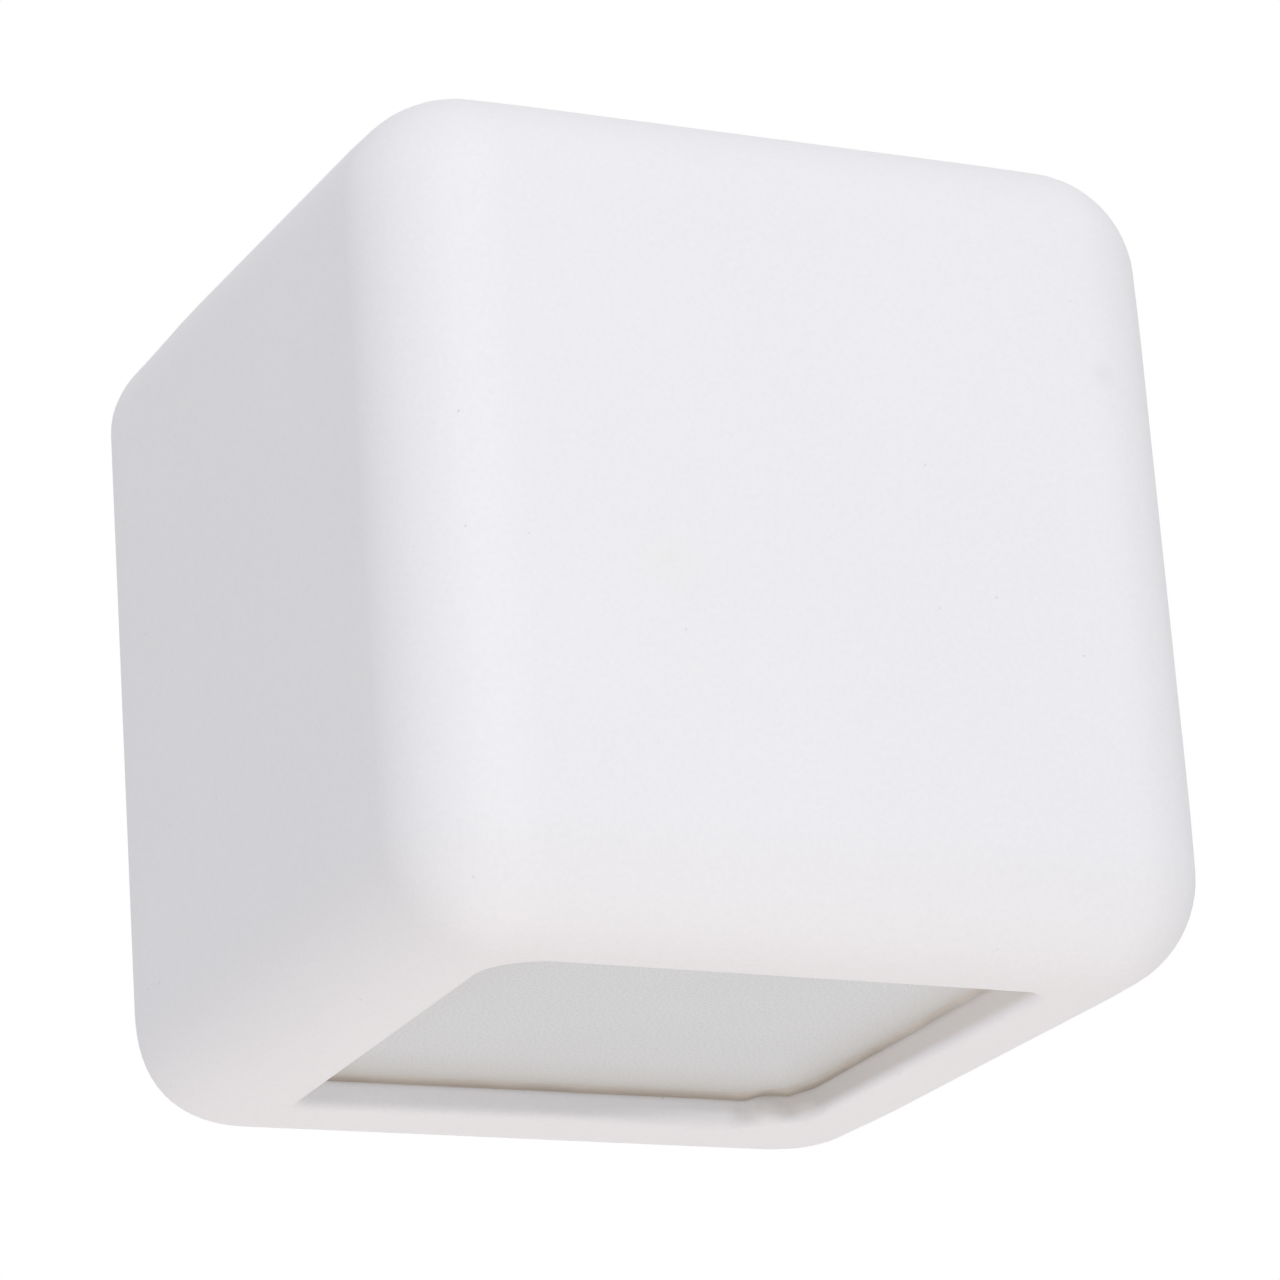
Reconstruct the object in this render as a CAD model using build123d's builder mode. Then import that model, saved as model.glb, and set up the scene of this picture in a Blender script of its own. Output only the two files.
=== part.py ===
from build123d import *
import math
import os

# Cube wall light: a hollow ceramic body that hooks over a folded steel wall bracket, with an opal
# pane behind its lower and its upper opening and a small plug-in lamp on the bracket.
# X is to the right, Y points into the wall and Z is up. The origin is on the wall, in the middle of
# the body's open back. Values that end in _out are distances from the wall into the room, along -Y.

# Ceramic body
body_width = 140.0
body_height = 140.0
body_depth = 125.0
body_edge_radius = 18.5
ceramic_wall = 5.0
back_edge_radius = 3.0

# Openings in the body's bottom and top, by their distance from the body's outer faces
opening_left_margin = 21.4
opening_right_margin = 26.3
opening_front_margin = 21.4
opening_back_margin = 16.2
opening_corner_radius = 6.5
opening_rim_radius = 2.4

# Opal panes, each bedded on a bead of silicone that runs round its opening
pane_overlap = 3.0
pane_thickness = 3.0
pane_corner_radius = 2.0
pane_edge_break = 0.4
bead_height = 1.0
bead_setback = 0.8
bead_width = 1.0

# Wall bracket, folded from sheet
plate_thickness = 1.5
plate_standoff = 2.5
plate_bend_radius = 1.5
plate_side_gap = 25.0
plate_corner_notch = 7.0
plate_web_inset = 12.4
arm_pane_gap = 0.6
pad_thickness = 1.0
pad_length = 20.0
pad_edge_margin = 0.6
pad_corner_radius = 1.0
pad_spacing = 52.0
pad_clearance = 0.1
fixing_spacing = 62.0
fixing_slot_width = 5.0
fixing_slot_length = 12.0

# Retaining screw through the body's top wall into a bar under the upper arm
retaining_screw_diameter = 4.0
retaining_head_diameter = 8.0
retaining_head_height = 2.6
retaining_head_round = 1.3
retaining_tip_chamfer = 0.5
retaining_socket_size = 2.5
retaining_socket_depth = 1.4
retaining_hole_clearance = 0.5
retaining_washer_diameter = 9.5
retaining_washer_thickness = 0.8
retaining_tail = 3.4
arm_slot_clearance = 0.3
nut_bar_width = 14.0
nut_bar_thickness = 3.0
nut_bar_clearance = 0.3
nut_bar_chamfer = 0.3
thread_clearance = 0.05

# Cable grommet in the plate
grommet_arm_gap = 1.9
cable_bore_diameter = 7.2
grommet_neck_diameter = 12.0
grommet_flange_diameter = 17.0
grommet_front_lip = 2.5
grommet_lip_round = 1.2
grommet_back_lip = 1.8
grommet_clearance = 0.05

# Bridge that stands the lampholder off the plate
bridge_thickness = 1.2
bridge_bend_radius = 1.4
bridge_rise = 15.0
bridge_width = 24.0
bridge_leg_height = 16.0
bridge_foot_length = 11.0
bridge_platform_width = 18.0
bridge_platform_radius = 4.5
bridge_window_diameter = 13.0
rivet_diameter = 3.2
rivet_head_diameter = 6.0
rivet_head_height = 1.4
rivet_head_round = 1.1
rivet_tail_diameter = 5.0
rivet_tail_height = 1.2
rivet_clearance = 0.05

# Two-pin lampholder
holder_width = 14.0
holder_height = 18.0
holder_depth = 18.0
holder_flange_height = 36.0
holder_flange_thickness = 4.0
holder_edge_radius = 1.2
holder_screw_pitch = 26.0
pin_pitch = 9.0
pocket_width = 3.4
pocket_height = 5.2
pocket_depth = 12.0
contact_thickness = 0.5
contact_gap = 1.1
contact_height = 3.8
contact_length = 10.0
small_screw_diameter = 3.0
small_screw_clearance = 0.2
small_head_diameter = 5.5
small_head_height = 2.0
small_head_round = 1.0
small_slot_width = 0.7
small_slot_depth = 0.8
small_nut_flats = 5.5
small_nut_height = 2.4
small_screw_tail = 1.0

# Plug-in lamp
lamp_seat_gap = 0.4
lamp_diameter = 16.0
lamp_base_length = 10.0
lamp_base_edge = 1.0
lamp_cover_length = 38.0
lamp_cover_wall = 1.2
lamp_cover_tip_radius = 6.5
lamp_spigot_length = 2.5
lamp_fit = 0.1
board_width = 9.0
board_thickness = 1.0
board_length = 32.0
board_seat = 3.0
chip_size = 2.6
chip_height = 0.7
chip_spacing_along = 5.0
chip_spacing_across = 4.0
pin_wire_diameter = 0.8
pin_loop_width = 2.4
pin_length = 7.5
pin_loop_round = 0.7
pin_seat = 4.0

# Terminal block under the lampholder
terminal_width = 31.0
terminal_height = 16.0
terminal_depth = 16.0
terminal_grommet_gap = 1.5
terminal_edge_radius = 1.0
pole_pitch = 10.0
pole_rib_depth = 4.0
pole_groove_width = 1.4
barrel_standoff = 7.0
barrel_diameter = 6.0
barrel_length = 14.0
barrel_bore_diameter = 3.0
barrel_clearance = 0.05
terminal_screw_pitch = 7.6
terminal_screw_length = 6.0
terminal_well_clearance = 0.4
block_head_recess = 5.0
plate_screw_tail = 1.0

# Earth point on the plate
earth_x = 32.0
earth_block_rise = 8.0
earth_screw_diameter = 4.0
earth_head_diameter = 8.0
earth_head_height = 2.4
earth_head_round = 1.2
earth_washer_diameter = 8.0
earth_washer_thickness = 0.8
earth_ring_diameter = 8.4
earth_tag_thickness = 0.8
earth_tongue_length = 2.0
earth_crimp_length = 6.0
earth_crimp_wall = 0.7

# Inner leads
lead_diameter = 2.2
lead_clearance = 0.05
lead_reach_in_barrel = 6.0
live_lead_fall = 13.5
earth_lead_rise = 4.0
earth_lead_run = 5.5

# Ceramic body and panes: worked-out sizes
inner_half_height = body_height / 2 - ceramic_wall
opening_width = body_width - opening_left_margin - opening_right_margin
opening_length = body_depth - opening_front_margin - opening_back_margin
opening_x = (opening_left_margin - opening_right_margin) / 2
opening_y = -(opening_back_margin + opening_length / 2)
pane_width = opening_width + 2 * pane_overlap
pane_length = opening_length + 2 * pane_overlap
pane_outer_z = inner_half_height - bead_height
bead_reach = bead_setback + bead_width

# Bracket: worked-out places
web_back_out = plate_standoff
web_front_out = web_back_out + plate_thickness
web_mid_out = web_back_out + plate_thickness / 2
arm_outer_z = inner_half_height - pad_clearance - pad_thickness
arm_mid_z = arm_outer_z - plate_thickness / 2
arm_inner_z = arm_outer_z - plate_thickness
arm_tip_out = opening_back_margin - pane_overlap - arm_pane_gap
arm_flat_out = web_front_out + plate_bend_radius
arm_flat_length = arm_tip_out - arm_flat_out
retaining_out = arm_flat_out + arm_flat_length / 2
retaining_radius = retaining_screw_diameter / 2
plate_width = body_width - 2 * plate_side_gap
plate_web_height = 2 * (arm_inner_z - plate_web_inset)
arm_width = plate_width - 2 * plate_corner_notch
cable_z = -(arm_inner_z - grommet_arm_gap - grommet_flange_diameter / 2)
terminal_z = cable_z + grommet_flange_diameter / 2 + terminal_grommet_gap + terminal_height / 2
block_top_z = terminal_z + terminal_height / 2
earth_z = block_top_z + earth_block_rise
foot_front_out = web_front_out + bridge_thickness
platform_front_out = web_front_out + bridge_rise
platform_back_out = platform_front_out - bridge_thickness
rivet_spacing = bridge_width + bridge_foot_length
holder_front_out = platform_front_out + holder_depth
pocket_floor_out = holder_front_out - pocket_depth
flange_front_out = platform_front_out + holder_flange_thickness
lamp_back_out = holder_front_out + lamp_seat_gap
lamp_cover_out = lamp_back_out + lamp_base_length
terminal_front_out = web_front_out + terminal_depth
barrel_out = web_front_out + barrel_standoff
lead_radius = lead_diameter / 2
small_screw_radius = small_screw_diameter / 2
small_hole_radius = small_screw_radius + small_screw_clearance

os.makedirs("parts", exist_ok=True)


# Ceramic body: one cast shell, open at the back, rounded on every edge that is in view
with BuildPart() as ceramic_body:
    with Locations((0, -body_depth / 2, 0)):
        Box(body_width, body_depth, body_height)
    front_edges = ceramic_body.faces().sort_by(Axis.Y)[0].edges()
    fillet(ceramic_body.edges().filter_by(Axis.Y) + front_edges, body_edge_radius)
    offset(amount=-ceramic_wall, openings=ceramic_body.faces().sort_by(Axis.Y)[-1])
    fillet(ceramic_body.faces().sort_by(Axis.Y)[-1].outer_wire().edges(), back_edge_radius)
    with BuildSketch(Plane.XY):
        with Locations((opening_x, opening_y)):
            RectangleRounded(opening_width, opening_length, opening_corner_radius)
    extrude(amount=body_height, both=True, mode=Mode.SUBTRACT)
    lower_rim = ceramic_body.faces().sort_by(Axis.Z)[0].inner_wires()[0].edges()
    upper_rim = ceramic_body.faces().sort_by(Axis.Z)[-1].inner_wires()[0].edges()
    fillet(lower_rim + upper_rim, opening_rim_radius)
    with BuildSketch(Plane.XY.offset(body_height / 2)):
        with Locations((0, -retaining_out)):
            Circle(retaining_radius + retaining_hole_clearance)
    extrude(amount=-2 * ceramic_wall, mode=Mode.SUBTRACT)
ceramic_body.part.label = "ceramic_body"
export_step(ceramic_body.part, "parts/ceramic_body.step")

# Panes and their beads: the same pair below and above
for level, side in (("lower", -1), ("upper", 1)):
    with BuildPart() as glass:
        with BuildSketch(Plane.XY.offset(side * pane_outer_z)):
            with Locations((opening_x, opening_y)):
                RectangleRounded(pane_width, pane_length, pane_corner_radius)
        extrude(amount=-side * pane_thickness)
        chamfer(glass.faces().filter_by(Axis.Z).edges(), pane_edge_break)
    glass.part.label = level + "_glass"
    export_step(glass.part, "parts/" + level + "_glass.step")

    with BuildPart() as silicone:
        with BuildSketch(Plane.XY.offset(side * inner_half_height)):
            with Locations((opening_x, opening_y)):
                RectangleRounded(
                    opening_width + 2 * bead_reach,
                    opening_length + 2 * bead_reach,
                    opening_corner_radius + bead_reach,
                )
                RectangleRounded(
                    opening_width + 2 * bead_setback,
                    opening_length + 2 * bead_setback,
                    opening_corner_radius + bead_setback,
                    mode=Mode.SUBTRACT,
                )
        extrude(amount=-side * bead_height)
    silicone.part.label = level + "_glass_silicone"
    export_step(silicone.part, "parts/" + level + "_glass_silicone.step")

# Wall plate: a web that stands off the wall on two side returns, with an arm above and one below
with BuildPart() as wall_plate:
    return_x = (plate_width - plate_thickness) / 2
    with BuildSketch(Plane.XY):
        with BuildLine():
            FilletPolyline(
                (-return_x, 0),
                (-return_x, -web_mid_out),
                (return_x, -web_mid_out),
                (return_x, 0),
                radius=plate_bend_radius + plate_thickness / 2,
            )
        trace(line_width=plate_thickness)
    extrude(amount=plate_web_height / 2, both=True)
    with BuildSketch(Plane.YZ):
        with BuildLine():
            FilletPolyline(
                (-arm_tip_out, arm_mid_z),
                (-web_mid_out, arm_mid_z),
                (-web_mid_out, -arm_mid_z),
                (-arm_tip_out, -arm_mid_z),
                radius=plate_bend_radius + plate_thickness / 2,
            )
        trace(line_width=plate_thickness)
    extrude(amount=arm_width / 2, both=True)
    with BuildSketch(Plane.XZ.offset(web_front_out)):
        with GridLocations(fixing_spacing, 0, 2, 1):
            SlotOverall(fixing_slot_length, fixing_slot_width)
        with GridLocations(rivet_spacing, 0, 2, 1):
            Circle(rivet_diameter / 2 + rivet_clearance)
        with Locations((0, cable_z)):
            Circle(grommet_neck_diameter / 2 + grommet_clearance)
        with Locations((pole_pitch / 2, terminal_z)):
            Circle(small_screw_radius + thread_clearance)
        with Locations((earth_x, earth_z)):
            Circle(earth_screw_diameter / 2 + thread_clearance)
    extrude(amount=-plate_thickness, mode=Mode.SUBTRACT)
    with BuildSketch(Plane.XY.offset(arm_mid_z)):
        slot_radius = retaining_radius + arm_slot_clearance
        with Locations((0, -retaining_out)):
            Circle(slot_radius)
            Rectangle(2 * slot_radius, arm_flat_length, align=(Align.CENTER, Align.MAX))
    extrude(amount=plate_thickness, both=True, mode=Mode.SUBTRACT)
wall_plate.part.label = "wall_plate"
export_step(wall_plate.part, "parts/wall_plate.step")

# Arm pads: two on each arm, between the steel and the ceramic
with BuildPart() as arm_pads:
    for side in (-1, 1):
        with BuildSketch(Plane.XY.offset(side * arm_outer_z)):
            with Locations((0, -retaining_out)):
                with GridLocations(pad_spacing, 0, 2, 1):
                    RectangleRounded(pad_length, arm_flat_length - 2 * pad_edge_margin, pad_corner_radius)
        extrude(amount=side * pad_thickness)
arm_pads.part.label = "arm_pads"
export_step(arm_pads.part, "parts/arm_pads.step")

# Retaining screw, its washer on the ceramic and the threaded bar under the upper arm
with BuildPart() as retaining_washer:
    with BuildSketch(Plane.XY.offset(body_height / 2)):
        with Locations((0, -retaining_out)):
            Circle(retaining_washer_diameter / 2)
            Circle(retaining_radius + arm_slot_clearance, mode=Mode.SUBTRACT)
    extrude(amount=retaining_washer_thickness)
retaining_washer.part.label = "retaining_washer"
export_step(retaining_washer.part, "parts/retaining_washer.step")

head_seat_z = body_height / 2 + retaining_washer_thickness
screw_tip_z = arm_inner_z - nut_bar_thickness - retaining_tail
with BuildPart() as retaining_screw:
    with BuildSketch(Plane.XY.offset(screw_tip_z)):
        with Locations((0, -retaining_out)):
            Circle(retaining_radius)
    extrude(amount=head_seat_z - screw_tip_z)
    chamfer(retaining_screw.faces().sort_by(Axis.Z)[0].edges(), retaining_tip_chamfer)
    with BuildSketch(Plane.XY.offset(head_seat_z)):
        with Locations((0, -retaining_out)):
            Circle(retaining_head_diameter / 2)
    extrude(amount=retaining_head_height)
    fillet(retaining_screw.faces().sort_by(Axis.Z)[-1].edges(), retaining_head_round)
    with BuildSketch(Plane.XY.offset(head_seat_z + retaining_head_height)):
        with Locations((0, -retaining_out)):
            RegularPolygon(retaining_socket_size / 2, 6, major_radius=False)
    extrude(amount=-retaining_socket_depth, mode=Mode.SUBTRACT)
retaining_screw.part.label = "retaining_screw"
export_step(retaining_screw.part, "parts/retaining_screw.step")

with BuildPart() as nut_bar:
    with BuildSketch(Plane.XY.offset(arm_inner_z)):
        with Locations((0, -retaining_out)):
            Rectangle(nut_bar_width, arm_flat_length - 2 * nut_bar_clearance)
            Circle(retaining_radius + thread_clearance, mode=Mode.SUBTRACT)
    extrude(amount=-nut_bar_thickness)
    chamfer(nut_bar.edges().filter_by(Axis.Z).filter_by(GeomType.LINE), nut_bar_chamfer)
nut_bar.part.label = "nut_bar"
export_step(nut_bar.part, "parts/nut_bar.step")

# Cable grommet: a soft ring that lines the hole in the plate
with BuildPart() as cable_grommet:
    with BuildSketch(Plane.XZ.offset(web_back_out - grommet_back_lip)):
        with Locations((0, cable_z)):
            Circle(grommet_flange_diameter / 2)
    extrude(amount=grommet_back_lip)
    with BuildSketch(Plane.XZ.offset(web_back_out)):
        with Locations((0, cable_z)):
            Circle(grommet_neck_diameter / 2)
    extrude(amount=plate_thickness)
    with BuildSketch(Plane.XZ.offset(web_front_out)):
        with Locations((0, cable_z)):
            Circle(grommet_flange_diameter / 2)
    extrude(amount=grommet_front_lip)
    fillet(cable_grommet.faces().sort_by(Axis.Y)[0].edges(), grommet_lip_round)
    with BuildSketch(Plane.XZ):
        with Locations((0, cable_z)):
            Circle(cable_bore_diameter / 2)
    extrude(amount=web_front_out + grommet_front_lip, mode=Mode.SUBTRACT)
cable_grommet.part.label = "cable_grommet"
export_step(cable_grommet.part, "parts/cable_grommet.step")

# Lampholder bridge: a folded hat section with a taller platform for the holder's flange
with BuildPart() as lampholder_bridge:
    leg_x = (bridge_width - bridge_thickness) / 2
    foot_mid_out = web_front_out + bridge_thickness / 2
    platform_mid_out = platform_front_out - bridge_thickness / 2
    with BuildSketch(Plane.XY):
        with BuildLine():
            FilletPolyline(
                (-leg_x - bridge_foot_length, -foot_mid_out),
                (-leg_x, -foot_mid_out),
                (-leg_x, -platform_mid_out),
                (leg_x, -platform_mid_out),
                (leg_x, -foot_mid_out),
                (leg_x + bridge_foot_length, -foot_mid_out),
                radius=bridge_bend_radius + bridge_thickness / 2,
            )
        trace(line_width=bridge_thickness)
    extrude(amount=bridge_leg_height / 2, both=True)
    with BuildSketch(Plane.XZ.offset(platform_back_out)):
        RectangleRounded(bridge_platform_width, holder_flange_height, bridge_platform_radius)
    extrude(amount=bridge_thickness)
    with BuildSketch(Plane.XZ.offset(platform_back_out)):
        Circle(bridge_window_diameter / 2)
        with GridLocations(0, holder_screw_pitch, 1, 2):
            Circle(small_hole_radius)
    extrude(amount=bridge_thickness, mode=Mode.SUBTRACT)
    with BuildSketch(Plane.XZ.offset(web_front_out)):
        with GridLocations(rivet_spacing, 0, 2, 1):
            Circle(rivet_diameter / 2 + rivet_clearance)
    extrude(amount=bridge_thickness, mode=Mode.SUBTRACT)
lampholder_bridge.part.label = "lampholder_bridge"
export_step(lampholder_bridge.part, "parts/lampholder_bridge.step")

with BuildPart() as bridge_rivets:
    with BuildSketch(Plane.XZ.offset(web_back_out - rivet_tail_height)):
        with GridLocations(rivet_spacing, 0, 2, 1):
            Circle(rivet_tail_diameter / 2)
    extrude(amount=rivet_tail_height)
    with BuildSketch(Plane.XZ.offset(web_back_out)):
        with GridLocations(rivet_spacing, 0, 2, 1):
            Circle(rivet_diameter / 2)
    extrude(amount=plate_thickness + bridge_thickness)
    with BuildSketch(Plane.XZ.offset(foot_front_out)):
        with GridLocations(rivet_spacing, 0, 2, 1):
            Circle(rivet_head_diameter / 2)
    extrude(amount=rivet_head_height)
    fillet(bridge_rivets.faces().sort_by(Axis.Y)[:2].edges(), rivet_head_round)
bridge_rivets.part.label = "bridge_rivets"
export_step(bridge_rivets.part, "parts/bridge_rivets.step")

# Lampholder: a pressed ceramic block with a flange, two contact pockets and a hole behind each for its lead
with BuildPart() as lampholder:
    with BuildSketch(Plane.XZ.offset(platform_front_out)):
        SlotOverall(holder_flange_height, holder_width, rotation=90)
    extrude(amount=holder_flange_thickness)
    with BuildSketch(Plane.XZ.offset(platform_front_out)):
        SlotOverall(holder_height, holder_width, rotation=90)
    extrude(amount=holder_depth)
    fillet(lampholder.faces().sort_by(Axis.Y)[0].edges(), holder_edge_radius)
    with BuildSketch(Plane.XZ.offset(holder_front_out)):
        with GridLocations(0, pin_pitch, 1, 2):
            Rectangle(pocket_width, pocket_height)
    extrude(amount=-pocket_depth, mode=Mode.SUBTRACT)
    with BuildSketch(Plane.XZ.offset(platform_front_out)):
        with GridLocations(0, pin_pitch, 1, 2):
            Circle(lead_radius + lead_clearance)
    extrude(amount=pocket_floor_out - platform_front_out, mode=Mode.SUBTRACT)
    with BuildSketch(Plane.XZ.offset(platform_front_out)):
        with GridLocations(0, holder_screw_pitch, 1, 2):
            Circle(small_hole_radius)
    extrude(amount=holder_flange_thickness, mode=Mode.SUBTRACT)
lampholder.part.label = "lampholder"
export_step(lampholder.part, "parts/lampholder.step")

with BuildPart() as lampholder_contacts:
    with BuildSketch(Plane.XZ.offset(pocket_floor_out)):
        with GridLocations(0, pin_pitch, 1, 2):
            Rectangle(contact_gap + 2 * contact_thickness, contact_height)
    extrude(amount=contact_thickness)
    with BuildSketch(Plane.XZ.offset(pocket_floor_out)):
        with GridLocations(contact_gap + contact_thickness, pin_pitch, 2, 2):
            Rectangle(contact_thickness, contact_height)
    extrude(amount=contact_length)
lampholder_contacts.part.label = "lampholder_contacts"
export_step(lampholder_contacts.part, "parts/lampholder_contacts.step")

with BuildPart() as lampholder_screws:
    screw_tip_out = platform_back_out - small_nut_height - small_screw_tail
    with BuildSketch(Plane.XZ.offset(screw_tip_out)):
        with GridLocations(0, holder_screw_pitch, 1, 2):
            Circle(small_screw_radius)
    extrude(amount=flange_front_out - screw_tip_out)
    with BuildSketch(Plane.XZ.offset(flange_front_out)):
        with GridLocations(0, holder_screw_pitch, 1, 2):
            Circle(small_head_diameter / 2)
    extrude(amount=small_head_height)
    fillet(lampholder_screws.faces().sort_by(Axis.Y)[:2].edges(), small_head_round)
    with BuildSketch(Plane.XZ.offset(flange_front_out + small_head_height)):
        with GridLocations(0, holder_screw_pitch, 1, 2):
            Rectangle(small_head_diameter, small_slot_width)
    extrude(amount=-small_slot_depth, mode=Mode.SUBTRACT)
lampholder_screws.part.label = "lampholder_screws"
export_step(lampholder_screws.part, "parts/lampholder_screws.step")

with BuildPart() as lampholder_nuts:
    with BuildSketch(Plane.XZ.offset(platform_back_out)):
        with GridLocations(0, holder_screw_pitch, 1, 2):
            RegularPolygon(small_nut_flats / 2, 6, major_radius=False)
            Circle(small_screw_radius + thread_clearance, mode=Mode.SUBTRACT)
    extrude(amount=-small_nut_height)
lampholder_nuts.part.label = "lampholder_nuts"
export_step(lampholder_nuts.part, "parts/lampholder_nuts.step")

# Plug-in lamp: a base with two wire loops, a cover and the board of light-emitting chips inside it
with BuildPart() as bulb_base:
    with BuildSketch(Plane.XZ.offset(lamp_back_out)):
        Circle(lamp_diameter / 2)
    extrude(amount=lamp_base_length)
    fillet(bulb_base.faces().sort_by(Axis.Y)[-1].edges(), lamp_base_edge)
    with BuildSketch(Plane.XZ.offset(lamp_cover_out)):
        Circle(lamp_diameter / 2 - lamp_cover_wall - lamp_fit)
    extrude(amount=lamp_spigot_length)
    with BuildSketch(Plane.XZ.offset(lamp_cover_out + lamp_spigot_length)):
        Rectangle(board_thickness + 2 * lamp_fit, board_width + 2 * lamp_fit)
    extrude(amount=-board_seat, mode=Mode.SUBTRACT)
    with BuildSketch(Plane.XZ.offset(lamp_back_out)):
        with GridLocations(0, pin_pitch, 1, 2):
            with GridLocations(0, pin_loop_width - pin_wire_diameter, 1, 2):
                Circle(pin_wire_diameter / 2 + lamp_fit)
    extrude(amount=pin_seat, mode=Mode.SUBTRACT)
bulb_base.part.label = "bulb_base"
export_step(bulb_base.part, "parts/bulb_base.step")

with BuildPart() as bulb_cover:
    with BuildSketch(Plane.XZ.offset(lamp_cover_out)):
        Circle(lamp_diameter / 2)
    extrude(amount=lamp_cover_length)
    fillet(bulb_cover.faces().sort_by(Axis.Y)[0].edges(), lamp_cover_tip_radius)
    offset(amount=-lamp_cover_wall, openings=bulb_cover.faces().sort_by(Axis.Y)[-1])
bulb_cover.part.label = "bulb_cover"
export_step(bulb_cover.part, "parts/bulb_cover.step")

with BuildPart() as bulb_led_board:
    board_back_out = lamp_cover_out + lamp_spigot_length - board_seat
    board_mid_out = board_back_out + board_length / 2
    with BuildSketch(Plane.YZ):
        with Locations((-board_mid_out, 0)):
            Rectangle(board_length, board_width)
    extrude(amount=board_thickness / 2, both=True)
    with BuildSketch(Plane.YZ):
        with Locations((-board_mid_out - board_seat, 0)):
            with GridLocations(chip_spacing_along, chip_spacing_across, 5, 2):
                Rectangle(chip_size, chip_size)
    extrude(amount=board_thickness / 2 + chip_height, both=True)
bulb_led_board.part.label = "bulb_led_board"
export_step(bulb_led_board.part, "parts/bulb_led_board.step")

with BuildPart() as bulb_pins:
    loop_half = (pin_loop_width - pin_wire_diameter) / 2
    loop_root_y = -(lamp_back_out + pin_seat)
    loop_tip_y = -(lamp_back_out - pin_length + pin_wire_diameter / 2)
    for pin_z in (-pin_pitch / 2, pin_pitch / 2):
        with BuildLine(Plane.YZ) as loop:
            FilletPolyline(
                (loop_root_y, pin_z - loop_half),
                (loop_tip_y, pin_z - loop_half),
                (loop_tip_y, pin_z + loop_half),
                (loop_root_y, pin_z + loop_half),
                radius=pin_loop_round,
            )
        with BuildSketch(Plane(origin=loop.line @ 0, z_dir=loop.line % 0)):
            Circle(pin_wire_diameter / 2)
        sweep(path=loop.line)
bulb_pins.part.label = "bulb_pins"
export_step(bulb_pins.part, "parts/bulb_pins.step")

# Terminal block: a moulded strip of three poles, each a brass barrel with two screws
with BuildPart() as terminal_block:
    with BuildSketch(Plane.XZ.offset(web_front_out)):
        with Locations((0, terminal_z)):
            RectangleRounded(terminal_width, terminal_height, terminal_edge_radius)
    extrude(amount=terminal_depth)
    with BuildSketch(Plane.XY.offset(terminal_z)):
        with Locations((0, -barrel_out)):
            with GridLocations(pole_pitch, 0, 3, 1):
                Circle(barrel_diameter / 2 + barrel_clearance)
    extrude(amount=terminal_height / 2, both=True, mode=Mode.SUBTRACT)
    with BuildSketch(Plane.XZ.offset(terminal_front_out)):
        with Locations((0, terminal_z)):
            with GridLocations(pole_pitch, terminal_screw_pitch, 3, 2):
                Circle(small_screw_radius + terminal_well_clearance)
    extrude(amount=barrel_out - terminal_front_out, mode=Mode.SUBTRACT)
    with BuildSketch(Plane.XZ.offset(terminal_front_out)):
        with Locations((0, terminal_z)):
            with GridLocations(pole_pitch, 0, 2, 1):
                Rectangle(pole_groove_width, terminal_height)
    extrude(amount=-pole_rib_depth, mode=Mode.SUBTRACT)
    with Locations(Plane.XZ.offset(terminal_front_out) * Pos(pole_pitch / 2, terminal_z, 0)):
        CounterBoreHole(small_hole_radius, small_head_diameter / 2 + small_screw_clearance, block_head_recess)
terminal_block.part.label = "terminal_block"
export_step(terminal_block.part, "parts/terminal_block.step")

with BuildPart() as terminal_barrels:
    with BuildSketch(Plane.XY.offset(terminal_z)):
        with Locations((0, -barrel_out)):
            with GridLocations(pole_pitch, 0, 3, 1):
                Circle(barrel_diameter / 2)
                Circle(barrel_bore_diameter / 2, mode=Mode.SUBTRACT)
    extrude(amount=barrel_length / 2, both=True)
    with BuildSketch(Plane.XZ.offset(barrel_out)):
        with Locations((0, terminal_z)):
            with GridLocations(pole_pitch, terminal_screw_pitch, 3, 2):
                Circle(small_screw_radius + thread_clearance)
    extrude(amount=barrel_diameter, mode=Mode.SUBTRACT)
terminal_barrels.part.label = "terminal_barrels"
export_step(terminal_barrels.part, "parts/terminal_barrels.step")

with BuildPart() as terminal_screws:
    terminal_tip_out = barrel_out + lead_radius + lead_clearance
    with BuildSketch(Plane.XZ.offset(terminal_tip_out)):
        with Locations((0, terminal_z)):
            with GridLocations(pole_pitch, terminal_screw_pitch, 3, 2):
                Circle(small_screw_radius)
    extrude(amount=terminal_screw_length)
    with BuildSketch(Plane.XZ.offset(terminal_tip_out + terminal_screw_length)):
        with Locations((0, terminal_z)):
            with GridLocations(pole_pitch, terminal_screw_pitch, 3, 2):
                Rectangle(small_screw_diameter, small_slot_width)
    extrude(amount=-small_slot_depth, mode=Mode.SUBTRACT)
terminal_screws.part.label = "terminal_screws"
export_step(terminal_screws.part, "parts/terminal_screws.step")

with BuildPart() as terminal_block_screw:
    block_head_out = terminal_front_out - block_head_recess
    block_tip_out = web_back_out - plate_screw_tail
    with BuildSketch(Plane.XZ.offset(block_tip_out)):
        with Locations((pole_pitch / 2, terminal_z)):
            Circle(small_screw_radius)
    extrude(amount=block_head_out - block_tip_out)
    with BuildSketch(Plane.XZ.offset(block_head_out)):
        with Locations((pole_pitch / 2, terminal_z)):
            Circle(small_head_diameter / 2)
    extrude(amount=small_head_height)
    with BuildSketch(Plane.XZ.offset(block_head_out + small_head_height)):
        with Locations((pole_pitch / 2, terminal_z)):
            Rectangle(small_head_diameter, small_slot_width)
    extrude(amount=-small_slot_depth, mode=Mode.SUBTRACT)
terminal_block_screw.part.label = "terminal_block_screw"
export_step(terminal_block_screw.part, "parts/terminal_block_screw.step")

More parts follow.
